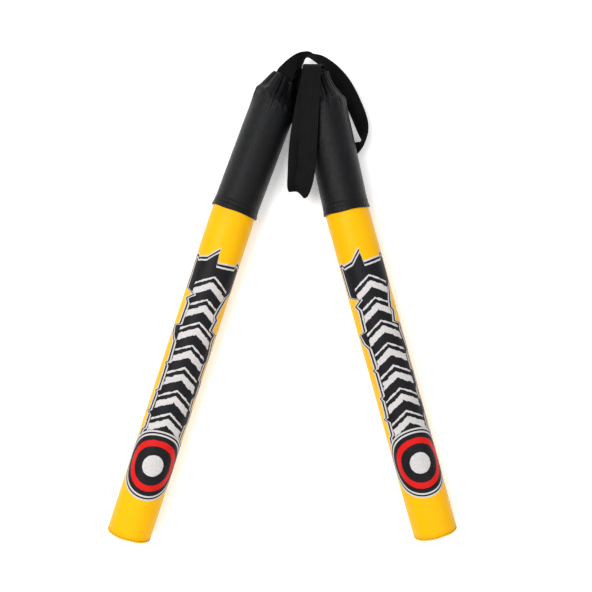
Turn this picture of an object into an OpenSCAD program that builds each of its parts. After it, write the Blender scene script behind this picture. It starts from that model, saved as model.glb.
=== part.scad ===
// A pair of padded training sticks lying on the floor.
// Each stick is a plastic core tube in a foam sleeve with a sewn cover, a grip sleeve gathered
// shut at the top, and a webbing wrist strap that comes out of the gather.
// Millimetres. +Y runs up the pair, +Z points up from the floor.

/* [Stick] */
// Length of the left stick from the end disc to the hem of the grip
left_body_len = 373; // [365:1:373]
// Length of the right stick from the end disc to the hem of the grip
right_body_len = 366; // [360:1:368]
// Outer diameter of the yellow cover
body_d = 48.4; // [46:0.2:50]
// Length of the round part of the grip
grip_len = 122; // [118:1:126]
// Outer diameter of the grip sleeve
grip_d = 49.8; // [48:0.2:51]
// Length from the hem to the mouth of the gather
mouth_at = 154; // [152:1:156]
// Thickness of the cover fabric
cover_t = 0.8; // [0.6:0.1:1]
// Thickness of the grip fabric
sleeve_t = 0.9; // [0.7:0.1:1]

/* [Core] */
// Outer diameter of the core tube
core_d = 21.3; // [20:0.1:22]
// Wall of the core tube
core_wall = 2.1; // [1.8:0.1:2.5]
// Thickness of the foam pad below the core
tip_pad = 22; // [15:1:30]

/* [Strap] */
// Width of the webbing
strap_w = 20; // [18:0.5:20]
// Thickness of the webbing
strap_t = 1.4; // [1:0.1:1.4]

/* [Placing] */
// Hem centre of the left stick: across, along, height
left_hem = [-52.8, 104.6, 25.5];
// Hem centre of the right stick, raised by the strap that lies under it
right_hem = [70.8, 104.7, 26.7];
// Angle of the left body from the long direction
left_lean = 18.1; // [16:0.1:20]
// Angle of the right body from the long direction
right_lean = -15.5; // [-18:0.1:-13]
// Bend of the left grip away from its body
left_bend = 2.4; // [1:0.1:3]
// Bend of the right grip away from its body
right_bend = 3.2; // [2:0.1:4]
// Rise of the left stick towards the grip
left_pitch = 0.19; // [0.17:0.01:0.19]
// Rise of the right stick towards the grip
right_pitch = 0.39; // [0.36:0.01:0.39]

/* [Hidden] */
$fn = 96;
FABRIC_BLACK = [0.09, 0.09, 0.1];
FABRIC_YELLOW = [0.96, 0.72, 0.02];
THREAD = [0.2, 0.2, 0.2];
FOAM = [0.75, 0.75, 0.72];
CORE_WHITE = [0.9, 0.9, 0.88];
STEEL = [0.7, 0.7, 0.72];

body_r = body_d / 2;
grip_r = grip_d / 2;
foam_r = body_r - cover_t;
grip_foam_r = grip_r - sleeve_t;
core_r = core_d / 2;
core_bore_r = core_r - core_wall;

// end of the body
disc_t = 1;              // thickness of the end disc
welt_h = 4;              // height of the rolled rim
thread_t = 0.4;          // side of a thread's channel

// hem of the grip, measured from the hem line
hem_low = -0.5;
hem_high = 8.5;
hem_r = grip_r + 0.6;
hem_in = body_r + 0.4;
foam_start = 3.6;        // grip foam begins here
cover_end = 2;           // the cover ends here, under the hem
tuck_at = hem_low - 6;   // above this the hem's stitches draw the cover in
tuck = 0.2;              // how far they draw it in

// gather
lip_at = mouth_at - 5;   // where the cone ends and the mouth ring begins
mouth_r = 12.8;          // outer radius of the mouth ring
mouth_in = 11.8;         // radius of the mouth's opening
tie_r = 0.4;             // radius of the tie cord
tie_at = mouth_at - 2.5; // where the tie cord runs
tie_ring = (mouth_r + mouth_in) / 2;

// core in the grip, measured from the end disc
core_from = disc_t + tip_pad;
cap_t = 2;               // flange of a core cap
cap_stem = 16;           // length of a cap's plug
screw_r = 1.6;
screw_len = 14;
head_r = 3.4;
head_t = 2;
washer_r = 6;
washer_t = 1;

// seam allowance inside the cover
seam_w = 9;
seam_t = 0.8;

// Each stick is [hem centre, lean, bend, pitch, length of the body].
LEFT = [left_hem, left_lean, left_bend, left_pitch, left_body_len];
RIGHT = [right_hem, right_lean, right_bend, right_pitch, right_body_len];

function body_end(stick) = stick[4];

// Where the core tube stops, just above the grip foam.
function core_end(stick) = body_end(stick) + grip_len + 2;

// Frame of a body: +Z runs from the end disc to the hem, 0 at the end disc.
module on_body(stick) {
    translate(stick[0])
        rotate([0, 0, -stick[1]])
            rotate([stick[3] - 90, 0, 0])
                translate([0, 0, -body_end(stick)])
                    children();
}

// Frame of a grip: +Z runs from the hem to the mouth, 0 at the hem.
module on_grip(stick) {
    on_body(stick)
        translate([0, 0, body_end(stick)])
            rotate([0, stick[2], 0])
                children();
}

// Frame of a body, seen from inside the frame of its grip.
module body_in_grip(stick) {
    rotate([0, -stick[2], 0])
        translate([0, 0, -body_end(stick)])
            children();
}

// A plain round tube between two heights.
module tube(outer, inner, low, high) {
    rotate_extrude()
        translate([inner, low])
            square([outer - inner, high - low]);
}

// A ring of thread let into a surface.
module thread_ring(outer, at) {
    tube(outer, outer - thread_t, at, at + thread_t);
}

// ---- body end ----

module end_disc(stick) {
    color(FABRIC_YELLOW)
        on_body(stick)
            cylinder(r = foam_r, h = disc_t);
}

module end_welt(stick) {
    edge = 0.6; // rounding of the rim
    color(FABRIC_YELLOW)
        on_body(stick)
            difference() {
                rotate_extrude()
                    polygon([
                        [foam_r, 0], [body_r - edge, 0], [body_r, edge],
                        [body_r, welt_h], [foam_r, welt_h]
                    ]);
                thread_ring(body_r, welt_h / 2 - thread_t / 2);
            }
}

module end_thread(stick) {
    color(THREAD)
        on_body(stick)
            thread_ring(body_r, welt_h / 2 - thread_t / 2);
}

module tip_foam(stick) {
    color(FOAM)
        on_body(stick)
            translate([0, 0, disc_t])
                cylinder(r = foam_r, h = tip_pad);
}

// ---- body ----

module seam_shape(stick) {
    intersection() {
        tube(foam_r, foam_r - seam_t, core_from, body_end(stick));
        translate([-seam_w / 2, 0, core_from])
            cube([seam_w, body_d, body_end(stick)]);
    }
}

module body_foam(stick) {
    color(FOAM)
        on_body(stick)
            difference() {
                tube(foam_r, core_r, core_from, body_end(stick));
                seam_shape(stick);
            }
}

module body_cover(stick) {
    color(FABRIC_YELLOW)
        on_body(stick)
            union() {
                tube(body_r, foam_r, welt_h, body_end(stick) + tuck_at);
                tube(body_r - tuck, foam_r, body_end(stick) + tuck_at, body_end(stick) + cover_end);
            }
}

module body_seam(stick) {
    color(FABRIC_YELLOW)
        on_body(stick)
            seam_shape(stick);
}

// ---- core ----

module core_tube(stick) {
    color(CORE_WHITE)
        on_body(stick)
            tube(core_r, core_bore_r, core_from + cap_t, core_end(stick));
}

module core_lower_cap(stick) {
    color(CORE_WHITE)
        on_body(stick)
            translate([0, 0, core_from]) {
                cylinder(r = core_r, h = cap_t);
                cylinder(r = core_bore_r, h = cap_t + cap_stem);
            }
}

module core_upper_cap(stick) {
    color(CORE_WHITE)
        on_body(stick)
            difference() {
                union() {
                    translate([0, 0, core_end(stick)])
                        cylinder(r = core_r, h = cap_t);
                    translate([0, 0, core_end(stick) - cap_stem])
                        cylinder(r = core_bore_r, h = cap_stem + cap_t);
                }
                translate([0, 0, core_end(stick) + cap_t - screw_len])
                    cylinder(r = screw_r, h = screw_len);
            }
}

// ---- grip ----

module grip_foam(stick) {
    color(FOAM)
        on_grip(stick)
            difference() {
                translate([0, 0, foam_start])
                    cylinder(r = grip_foam_r, h = grip_len - foam_start);
                body_in_grip(stick)
                    translate([0, 0, body_end(stick) - grip_len])
                        cylinder(r = core_r, h = 3 * grip_len);
            }
}

module grip_sleeve(stick) {
    color(FABRIC_BLACK)
        on_grip(stick)
            tube(grip_r, grip_foam_r, hem_high, grip_len);
}

module grip_hem(stick) {
    edge = 0.5; // rounding of the folded edge
    color(FABRIC_BLACK)
        on_grip(stick)
            difference() {
                rotate_extrude()
                    polygon([
                        [hem_in, hem_low], [hem_r - edge, hem_low], [hem_r, hem_low + edge],
                        [hem_r, hem_high - edge], [grip_r, hem_high], [hem_in, hem_high]
                    ]);
                thread_ring(hem_r, hem_high / 2);
            }
}

module hem_thread(stick) {
    color(THREAD)
        on_grip(stick)
            thread_ring(hem_r, hem_high / 2);
}

module grip_gather(stick) {
    color(FABRIC_BLACK)
        on_grip(stick)
            difference() {
                rotate_extrude()
                    polygon([
                        [grip_foam_r, grip_len], [grip_r, grip_len],
                        [grip_r - 1, grip_len + 4], [mouth_r + 0.6, lip_at],
                        [mouth_r, mouth_at - 1], [mouth_r - 0.4, mouth_at],
                        [mouth_in, mouth_at], [mouth_in, lip_at + 1],
                        [grip_foam_r - 1, grip_len + 3]
                    ]);
                gather_tie_shape();
            }
}

module gather_tie_shape() {
    rotate_extrude()
        translate([tie_ring, tie_at])
            circle(r = tie_r, $fn = 24);
}

module gather_tie(stick) {
    color(THREAD)
        on_grip(stick)
            gather_tie_shape();
}

// ---- strap fixing ----

// Two layers of webbing folded flat on the core cap, then up to the mouth.
module strap_tail(stick) {
    rise_t = 2 * strap_t + 0.4;                  // both layers as they stand
    foot = [0, washer_r + 4, core_end(stick) + cap_t + 2 * strap_t];
    stop = mouth_at - 4.5;                       // the loop's own ends carry on from here
    top = [stop * sin(stick[2]), 0, body_end(stick) + stop * cos(stick[2])];
    rise = top - foot;
    color(FABRIC_BLACK)
        on_body(stick)
            difference() {
                union() {
                    translate([-strap_w / 2, -washer_r - 1, core_end(stick) + cap_t])
                        cube([strap_w, foot[1] + washer_r + 1, 2 * strap_t]);
                    translate(foot)
                        rotate([0, atan2(rise[0], rise[2]), 0])
                            rotate([asin(-rise[1] / norm(rise)), 0, 0])
                                translate([-strap_w / 2, -rise_t / 2, 0])
                                    cube([strap_w, rise_t, norm(rise)]);
                }
                translate([0, 0, core_end(stick)])
                    cylinder(r = screw_r, h = 2 * screw_len);
            }
}

module strap_washer(stick) {
    color(STEEL)
        on_body(stick)
            translate([0, 0, core_end(stick) + cap_t + 2 * strap_t])
                tube(washer_r, screw_r, 0, washer_t);
}

module strap_screw(stick) {
    seat = core_end(stick) + cap_t + 2 * strap_t + washer_t;
    color(STEEL)
        on_body(stick) {
            translate([0, 0, seat])
                cylinder(r1 = head_r, r2 = head_r - 0.8, h = head_t);
            translate([0, 0, core_end(stick) + cap_t - screw_len])
                cylinder(r = screw_r, h = seat - core_end(stick) - cap_t + screw_len);
        }
}

// ---- wrist straps ----
// Each row is x, y, z of the webbing's centre line, then the compass direction and the rise,
// in degrees, of its outer edge. The straps start and end in the mouth of their gather.

LEFT_ROUTE = [
    [1.5, 250, 27.6, 160, 0], [4.4, 255.6, 28.4, 159, 2], [8.8, 260.5, 27.6, 156, 8],
    [13.8, 265.4, 25.2, 146, 26], [18.6, 271.1, 22.4, 136, 52], [23.8, 275.7, 19.6, 128, 75],
    [29.6, 279, 17, 100, 94], [37.3, 277.2, 14.8, 92, 83], [45.3, 273.2, 12.8, 66, 71],
    [56, 264, 10.8, 44, 56], [65, 253.2, 9.6, 33, 43], [73, 241, 8.6, 25, 40],
    [79.5, 228, 8, 20, 40], [85, 215, 8.5, 12, 42], [89, 203, 9.5, 5, 50],
    [91, 193, 11, -15, 66], [90.5, 186, 11, -45, 78], [87, 180.5, 9.7, -75, 62],
    [81.5, 177, 6, -90, 32], [74, 176.5, 2, -95, 4], [65, 178, 1, -105, 0],
    [55, 181, 1, -115, 0], [45, 187, 1, -122, 0], [35, 195, 1, -132, 0],
    [27, 205, 1.8, -145, 0], [21, 217, 4, -165, 0], [19.3, 229, 7.2, -178, 0],
    [19.2, 241, 11.2, -182, 0], [18.2, 251.5, 16.2, -186, 0], [14.4, 258.8, 21, -193, 0],
    [9, 260.6, 24.3, -198, 0], [4, 256.6, 25.6, -200, 0], [1.5, 250, 25.2, -200, 0]
];

RIGHT_ROUTE = [
    [37.8, 256.1, 26.6, -12, 0], [37.2, 260.4, 28.8, -10, 0], [35.8, 262, 36, -4, 0],
    [33.8, 261.2, 44, 0, 0], [32.3, 257.6, 51, -1, 0], [31.5, 250.6, 55, -2, 2],
    [31, 240, 56, -2, 4], [30.5, 225, 55.5, -2, 5], [29.7, 210, 54.7, -2, 5],
    [29, 195, 53.5, -2, 5], [28.2, 180, 51.5, -2, 4], [27.4, 165, 48.5, -2, 2],
    [26.2, 150, 44.5, -6, 0], [24, 137.6, 40, -20, -2], [20.6, 127.5, 34.5, -30, -2],
    [17.2, 126.2, 30, -33, 0], [15.4, 133.6, 28.5, -28, 2], [15.8, 145, 31, -12, 4],
    [16.3, 158, 36, -4, 7], [17.3, 172, 41.5, -2, 10], [19, 186, 46, -2, 12],
    [21.3, 200, 49.3, -2, 12], [24, 214, 51.6, -2, 9], [27, 228, 52.8, -2, 6],
    [29.5, 239, 52.4, -3, 3], [31.3, 248, 49.5, -4, 1], [33, 255.6, 44, -5, 0],
    [35, 259, 37.5, -7, 0], [36.8, 259, 32, -10, 0], [37.8, 256.1, 29, -12, 0]
];

ROUTE_STEPS = 2; // rings for each stretch between two route points

function unit(v) = v / norm(v);

// Smooth curve through four neighbouring rows, at t from 0 to 1 between the middle two.
function between(a, b, c, d, t) =
    0.5 * (2 * b + (c - a) * t + (2 * a - 5 * b + 4 * c - d) * t * t + (3 * b - a - 3 * c + d) * t * t * t);

function smooth(route) = [
    for (i = [0 : len(route) - 2], k = [0 : ROUTE_STEPS - 1])
        between(route[max(i - 1, 0)], route[i], route[i + 1],
                route[min(i + 2, len(route) - 1)], k / ROUTE_STEPS),
    route[len(route) - 1]
];

function place(row) = [row[0], row[1], row[2]];

function heading(rows, i) = unit(
    place(rows[min(i + 1, len(rows) - 1)]) - place(rows[max(i - 1, 0)]));

// Direction of the outer edge, square to the way the webbing runs.
function edge_way(row, along) =
    let (raw = [cos(row[3]) * cos(row[4]), sin(row[3]) * cos(row[4]), sin(row[4])])
    unit(raw - (raw * along) * along);

function ring(rows, i) =
    let (along = heading(rows, i),
         side = edge_way(rows[i], along) * strap_w / 2,
         up = unit(cross(along, side)) * strap_t / 2,
         at = place(rows[i]))
    [at - side - up, at + side - up, at + side + up, at - side + up];

module webbing(route) {
    rows = smooth(route);
    last = len(rows) - 1;
    points = [for (i = [0 : last]) each ring(rows, i)];
    sides = [
        for (i = [0 : last - 1], k = [0 : 3])
            let (a = 4 * i + k, b = 4 * i + (k + 1) % 4)
            each [[a, b, b + 4], [a, b + 4, a + 4]]
    ];
    ends = [[0, 3, 2, 1], [4 * last, 4 * last + 1, 4 * last + 2, 4 * last + 3]];
    polyhedron(points = points, faces = concat(sides, ends), convexity = 8);
}

module wrist_strap(route) {
    color(FABRIC_BLACK)
        webbing(route);
}

// ---- left stick ----
end_disc(LEFT);  // left_end_disc
end_welt(LEFT);  // left_end_welt
end_thread(LEFT);  // left_end_thread
tip_foam(LEFT);  // left_tip_foam
body_foam(LEFT);  // left_body_foam
body_cover(LEFT);  // left_body_cover
body_seam(LEFT);  // left_body_seam
core_tube(LEFT);  // left_core_tube
core_lower_cap(LEFT);  // left_core_lower_cap
core_upper_cap(LEFT);  // left_core_upper_cap
strap_screw(LEFT);  // left_strap_screw
strap_washer(LEFT);  // left_strap_washer
strap_tail(LEFT);  // left_strap_tail
grip_foam(LEFT);  // left_grip_foam
grip_sleeve(LEFT);  // left_grip_sleeve
grip_hem(LEFT);  // left_grip_hem
hem_thread(LEFT);  // left_hem_thread
grip_gather(LEFT);  // left_grip_gather
gather_tie(LEFT);  // left_gather_tie
wrist_strap(LEFT_ROUTE);  // left_wrist_strap

// ---- right stick ----
end_disc(RIGHT);  // right_end_disc
end_welt(RIGHT);  // right_end_welt
end_thread(RIGHT);  // right_end_thread
tip_foam(RIGHT);  // right_tip_foam
body_foam(RIGHT);  // right_body_foam
body_cover(RIGHT);  // right_body_cover
body_seam(RIGHT);  // right_body_seam
core_tube(RIGHT);  // right_core_tube
core_lower_cap(RIGHT);  // right_core_lower_cap
core_upper_cap(RIGHT);  // right_core_upper_cap
strap_screw(RIGHT);  // right_strap_screw
strap_washer(RIGHT);  // right_strap_washer
strap_tail(RIGHT);  // right_strap_tail
grip_foam(RIGHT);  // right_grip_foam
grip_sleeve(RIGHT);  // right_grip_sleeve
grip_hem(RIGHT);  // right_grip_hem
hem_thread(RIGHT);  // right_hem_thread
grip_gather(RIGHT);  // right_grip_gather
gather_tie(RIGHT);  // right_gather_tie
wrist_strap(RIGHT_ROUTE);  // right_wrist_strap
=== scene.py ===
"""A pair of padded training sticks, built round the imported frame. Metres throughout."""
import math

import bmesh
import bpy
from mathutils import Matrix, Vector, noise


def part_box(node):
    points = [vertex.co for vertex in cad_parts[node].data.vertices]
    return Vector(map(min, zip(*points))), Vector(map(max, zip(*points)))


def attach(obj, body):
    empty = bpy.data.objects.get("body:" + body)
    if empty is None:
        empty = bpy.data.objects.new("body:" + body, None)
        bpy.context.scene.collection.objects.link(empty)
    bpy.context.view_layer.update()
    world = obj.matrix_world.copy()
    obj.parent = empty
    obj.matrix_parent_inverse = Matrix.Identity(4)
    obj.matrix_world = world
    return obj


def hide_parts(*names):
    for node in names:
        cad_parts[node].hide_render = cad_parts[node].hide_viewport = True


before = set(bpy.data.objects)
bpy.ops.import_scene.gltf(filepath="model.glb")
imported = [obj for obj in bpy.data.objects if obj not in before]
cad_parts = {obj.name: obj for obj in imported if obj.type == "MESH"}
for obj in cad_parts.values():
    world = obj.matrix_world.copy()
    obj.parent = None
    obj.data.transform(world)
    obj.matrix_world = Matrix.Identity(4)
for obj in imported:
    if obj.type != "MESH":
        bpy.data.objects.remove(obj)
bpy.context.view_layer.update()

# ---- camera ----
# The pair lies on the floor and is looked at from straight above.
CAMERA_PLACE = (0.0152, 0.0121, 0.929)
camera = bpy.data.objects.new("camera", bpy.data.cameras.new("camera"))
camera.data.lens = 50
camera.data.sensor_width = 36
camera.location = CAMERA_PLACE
bpy.context.collection.objects.link(camera)
bpy.context.scene.camera = camera
bpy.context.scene.view_settings.view_transform = "Standard"


# ---- wrist straps ----
# Flat ribbed nylon webbing, 20 mm wide. Both ends go down into the mouth of the gathered grip and
# are screwed to the core there. The left loop falls over the right stick, and the right loop lies
# on top of its own grip.
STRAP_WIDTH = 0.020
STRAP_THICK = 0.0014
RIBS = 10             # lengthwise ribs across the webbing
RIB_HEIGHT = 0.00013
STRAP_RINGS = 10      # rings for each stretch between two points of a route
STRAP_HIDDEN = 0.003  # how far each end carries on down into the mouth
SELVEDGE_RISE = 0.00008     # the woven edge is a little thicker
SELVEDGE_IN = 0.0011        # the middle of that edge, in from the side
SELVEDGE_WIDTH = 0.0006
THINNEST = 0.00012          # half of the webbing's thickness at its very side
BACK_LAYOUT = 0.05          # sets the back of the webbing apart from its front in the layout

# x, y, z in mm, then the way across the webbing: its turn from +X and its rise, in degrees
LEFT_ROUTE = [
    (1.5, 250, 27.6, 160, 0), (4.4, 255.6, 28.4, 159, 2), (8.8, 260.5, 27.6, 156, 8),
    (13.8, 265.4, 25.2, 146, 26), (18.6, 271.1, 22.4, 136, 52), (23.8, 275.7, 19.6, 128, 75),
    (29.6, 279, 17, 100, 94), (37.3, 277.2, 14.8, 92, 83), (45.3, 273.2, 12.8, 66, 71),
    (56, 264, 10.8, 44, 56), (65, 253.2, 9.6, 33, 43), (73, 241, 8.6, 25, 40),
    (79.5, 228, 8, 20, 40), (85, 215, 8.5, 12, 42), (89, 203, 9.5, 5, 50),
    (91, 193, 11, -15, 66), (90.5, 186, 11, -45, 78), (87, 180.5, 9.7, -75, 62),
    (81.5, 177, 6, -90, 32), (74, 176.5, 2, -95, 4), (65, 178, 1, -105, 0),
    (55, 181, 1, -115, 0), (45, 187, 1, -122, 0), (35, 195, 1, -132, 0),
    (27, 205, 1.8, -145, 0), (21, 217, 4, -165, 0), (19.3, 229, 7.2, -178, 0),
    (19.2, 241, 11.2, -182, 0), (18.2, 251.5, 16.2, -186, 0), (14.4, 258.8, 21, -193, 0),
    (9, 260.6, 24.3, -198, 0), (4, 256.6, 25.6, -200, 0), (1.5, 250, 25.2, -200, 0)]
RIGHT_ROUTE = [
    (37.8, 256.1, 26.6, -12, 0), (37.2, 260.4, 28.8, -10, 0), (35.8, 262, 36, -4, 0),
    (33.8, 261.2, 44, 0, 0), (32.3, 257.6, 51, -1, 0), (31.5, 250.6, 55, -2, 2),
    (31, 240, 56, -2, 4), (30.5, 225, 55.5, -2, 5), (29.7, 210, 54.7, -2, 5),
    (29, 195, 53.5, -2, 5), (28.2, 180, 51.5, -2, 4), (27.4, 165, 48.5, -2, 2),
    (26.2, 150, 44.5, -6, 0), (24, 137.6, 40, -20, -2), (20.6, 127.5, 34.5, -30, -2),
    (17.2, 126.2, 30, -33, 0), (15.4, 133.6, 28.5, -28, 2), (15.8, 145, 31, -12, 4),
    (16.3, 158, 36, -4, 7), (17.3, 172, 41.5, -2, 10), (19, 186, 46, -2, 12),
    (21.3, 200, 49.3, -2, 12), (24, 214, 51.6, -2, 9), (27, 228, 52.8, -2, 6),
    (29.5, 239, 52.4, -3, 3), (31.3, 248, 49.5, -4, 1), (33, 255.6, 44, -5, 0),
    (35, 259, 37.5, -7, 0), (36.8, 259, 32, -10, 0), (37.8, 256.1, 29, -12, 0)]


def new_piece(name, verts, faces, skin, uvs=None):
    """A smooth-shaded mesh object of one material, with its fabric layout in the "wrap" map."""
    mesh = bpy.data.meshes.new(name)
    mesh.from_pydata([tuple(v) for v in verts], [], faces)
    mesh.polygons.foreach_set("use_smooth", [True] * len(mesh.polygons))
    if uvs is not None:
        layer = mesh.uv_layers.new(name="wrap")
        layer.data.foreach_set("uv", [x for pair in uvs for x in pair])
    mesh.materials.append(skin)
    mesh.update()
    piece = bpy.data.objects.new(name, mesh)
    bpy.context.collection.objects.link(piece)
    return piece


def sewn_grid(rows, row_uvs, closed_rows=False, caps=False):
    """Joins rings of points into quads. Each ring has one more layout point than points."""
    around = len(rows[0])
    verts = [p for row in rows for p in row]
    faces, uvs = [], []
    last = len(rows) if closed_rows else len(rows) - 1
    for i in range(last):
        j = (i + 1) % len(rows)
        for k in range(around):
            m = (k + 1) % around
            faces.append((i * around + k, i * around + m, j * around + m, j * around + k))
            uvs += [row_uvs[i][k], row_uvs[i][k + 1], row_uvs[j][k + 1], row_uvs[j][k]]
    if caps:
        faces.append(tuple(reversed(range(around))))
        uvs += list(reversed(row_uvs[0][:around]))
        base = (len(rows) - 1) * around
        faces.append(tuple(base + k for k in range(around)))
        uvs += row_uvs[-1][:around]
    return verts, faces, uvs


def material(name, **constants):
    """A new material whose constants sit on the shader's own sockets."""
    made = bpy.data.materials.new(name)
    made.use_nodes = True
    shader = made.node_tree.nodes["Principled BSDF"]
    for socket, value in constants.items():
        shader.inputs[socket.replace("_", " ")].default_value = value
    return made, made.node_tree, shader


def add(tree, kind, *values, out=0, **settings):
    """Adds one node, feeds its sockets in order and gives one of its outputs."""
    made = tree.nodes.new("ShaderNode" + kind)
    for key, value in settings.items():
        setattr(made, key, value)
    for socket, value in zip(made.inputs, values):
        if isinstance(value, bpy.types.NodeSocket):
            tree.links.new(value, socket)
        elif value is not None:
            socket.default_value = value
    return made.outputs[out]


def calc(tree, operation, a, b=None, c=None):
    """One step of arithmetic."""
    return add(tree, "Math", a, b, c, operation=operation)


def between(tree, value, low, high, to_low=0.0, to_high=1.0):
    """Carries a value from one range smoothly onto another."""
    return add(tree, "MapRange", value, low, high, to_low, to_high,
               interpolation_type="SMOOTHSTEP")


def blend_colour(tree, share, a, b, way="MIX"):
    """Lays colour b over colour a."""
    made = tree.nodes.new("ShaderNodeMix")
    made.data_type = "RGBA"
    made.blend_type = way
    for place, value in ((0, share), (6, a), (7, b)):
        if isinstance(value, bpy.types.NodeSocket):
            tree.links.new(value, made.inputs[place])
        else:
            made.inputs[place].default_value = value
    return made.outputs[2]


def group(name, inputs, outputs):
    """An empty node group with named number, vector or colour sockets."""
    made = bpy.data.node_groups.new(name, "ShaderNodeTree")
    for label, kind, default in inputs:
        socket = made.interface.new_socket(label, in_out="INPUT", socket_type="NodeSocket" + kind)
        if default is not None:
            socket.default_value = default
    for label, kind in outputs:
        made.interface.new_socket(label, in_out="OUTPUT", socket_type="NodeSocket" + kind)
    return made, made.nodes.new("NodeGroupInput"), made.nodes.new("NodeGroupOutput")


def use(tree, made, **values):
    """Places a group in a material and gives its node."""
    placed = tree.nodes.new("ShaderNodeGroup")
    placed.node_tree = made
    for socket, value in values.items():
        socket = placed.inputs[socket.replace("_", " ")]
        if isinstance(value, bpy.types.NodeSocket):
            tree.links.new(value, socket)
        else:
            socket.default_value = value
    return placed


# Uneven tone: soft dirt and rubbing that drifts over a surface.
tone, tone_in, tone_out = group(
    "uneven tone", [("Size", "Float", 40.0), ("Low", "Float", 0.9), ("High", "Float", 1.0)],
    [("Value", "Float"), ("Mask", "Float")])
tone_place = add(tone, "TexCoord", out=3)
tone_noise = add(tone, "TexNoise", tone_place, None, tone_in.outputs["Size"], 5.0, 0.6)
tone_mask = between(tone, tone_noise, 0.3, 0.7)
tone.links.new(add(tone, "MapRange", tone_mask, 0.0, 1.0, tone_in.outputs["Low"],
                   tone_in.outputs["High"]), tone_out.inputs["Value"])
tone.links.new(tone_mask, tone_out.inputs["Mask"])

# Ribbed weave: picks across the ribs, and a little fuzz, from the webbing's own layout. Its Shade
# output is painted shade: low in the hollows of the weave and high on the raised picks.
weave, weave_in, weave_out = group(
    "ribbed weave", [("Layout", "Vector", None), ("Picks", "Float", 900.0), ("Ribs", "Float", 500.0)],
    [("Height", "Float"), ("Shade", "Float")])
weave_xy = add(weave, "SeparateXYZ", weave_in.outputs["Layout"])
weave_u, weave_v = weave_xy, weave_xy.node.outputs[1]
weave_rib = calc(weave, "MULTIPLY", weave_u, weave_in.outputs["Ribs"])
weave_step = calc(weave, "MULTIPLY", calc(weave, "FLOOR", weave_rib), 0.5)
weave_pick = calc(weave, "FRACT", calc(
    weave, "ADD", calc(weave, "MULTIPLY", weave_v, weave_in.outputs["Picks"]), weave_step))
weave_lump = calc(weave, "SINE", calc(weave, "MULTIPLY", weave_pick, math.pi))
weave_ridge = calc(weave, "SINE", calc(
    weave, "MULTIPLY", calc(weave, "FRACT", weave_rib), math.pi))
weave_fuzz = add(weave, "TexNoise", add(weave, "TexCoord", out=3), None, 2600.0, 3.0, 0.6)
weave_height = calc(weave, "ADD", calc(weave, "MULTIPLY", weave_lump, weave_ridge),
                    calc(weave, "MULTIPLY", weave_fuzz, 0.5))
weave.links.new(weave_height, weave_out.inputs["Height"])
weave.links.new(between(weave, weave_height, 0.1, 1.3), weave_out.inputs["Shade"])

webbing_cloth, web, web_shader = material(
    "black ribbed webbing", Specular_IOR_Level=0.08)
web_weave = use(web, weave, Layout=add(web, "UVMap", uv_map="wrap"))
web_tone = use(web, tone, Size=60.0, Low=0.75, High=1.2)
# painted shade and highlight: the webbing is coloured darker in the hollows of the weave and lighter on
# its raised picks
web_colour = blend_colour(web, web_weave.outputs["Shade"], (0.0015, 0.0015, 0.0017, 1),
                          (0.0075, 0.0075, 0.0082, 1))
web.links.new(blend_colour(web, 1.0, web_colour, web_tone.outputs["Value"], "MULTIPLY"),
              web_shader.inputs["Base Color"])
web.links.new(between(web, web_weave.outputs["Height"], 0.0, 1.4, 0.85, 0.62),
              web_shader.inputs["Roughness"])
web.links.new(add(web, "Bump", 0.7, 0.00012, None, web_weave.outputs["Height"]),
              web_shader.inputs["Normal"])


def smooth_row(a, b, c, d, t):
    """A point on the smooth curve through four rows, between the middle two."""
    return tuple(0.5 * (2 * q + (r - p) * t + (2 * p - 5 * q + 4 * r - s) * t * t
                        + (3 * q - p - 3 * r + s) * t ** 3) for p, q, r, s in zip(a, b, c, d))


def webbing_outline():
    """Across the webbing, once round: (side, height)."""
    half, thick = STRAP_WIDTH / 2, STRAP_THICK / 2
    steps = 6 * RIBS
    outline = []
    for face in (1, -1):
        for k in range(steps + 1):
            across = (2 * k / steps - 1) * face * half
            edge = max(0.0, abs(across) - (half - thick)) / thick
            inwards = half - SELVEDGE_IN - abs(across)
            selvedge = SELVEDGE_RISE * math.exp(-(inwards / SELVEDGE_WIDTH) ** 2)
            rib = RIB_HEIGHT * (abs(math.sin(math.pi * RIBS * k / steps)) ** 0.6 - 1)
            height = (thick + rib + selvedge) * math.sqrt(max(0.0, 1 - edge ** 2)) \
                if edge < 1 else 0.0
            outline.append((across, max(height, THINNEST) * face))
    return outline


def make_strap(name, route):
    """Sweeps the webbing's outline along its route."""
    rows = []
    for i in range(len(route) - 1):
        four = (route[max(i - 1, 0)], route[i], route[i + 1], route[min(i + 2, len(route) - 1)])
        rows += [smooth_row(*four, k / STRAP_RINGS) for k in range(STRAP_RINGS)]
    rows.append(route[-1])
    spots = [Vector(row[:3]) * 0.001 for row in rows]
    ways = []
    for row in rows:
        turn, rise = math.radians(row[3]), math.radians(row[4])
        ways.append(Vector((math.cos(turn) * math.cos(rise), math.sin(turn) * math.cos(rise),
                            math.sin(rise))))
    first, last = spots[0] - spots[1], spots[-1] - spots[-2]
    spots = [spots[0] + first.normalized() * STRAP_HIDDEN, *spots,
             spots[-1] + last.normalized() * STRAP_HIDDEN]
    ways = [ways[0], *ways, ways[-1]]
    outline = webbing_outline()
    rings, layouts, run = [], [], 0.0
    for i, spot in enumerate(spots):
        ahead, behind = spots[min(i + 1, len(spots) - 1)], spots[max(i - 1, 0)]
        along = (ahead - behind).normalized()
        side = (ways[i] - along * ways[i].dot(along)).normalized()
        up = along.cross(side)
        if i:
            run += (spot - spots[i - 1]).length
        rings.append([spot + side * across + up * height for across, height in outline])
        half = len(outline) // 2
        layouts.append([(STRAP_WIDTH / 2 + outline[k % len(outline)][0]
                         + (BACK_LAYOUT if k >= half else 0.0), run) for k in range(len(outline) + 1)])
    verts, faces, uvs = sewn_grid(rings, layouts, caps=True)
    return new_piece(name, verts, faces, webbing_cloth, uvs), spots


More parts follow.
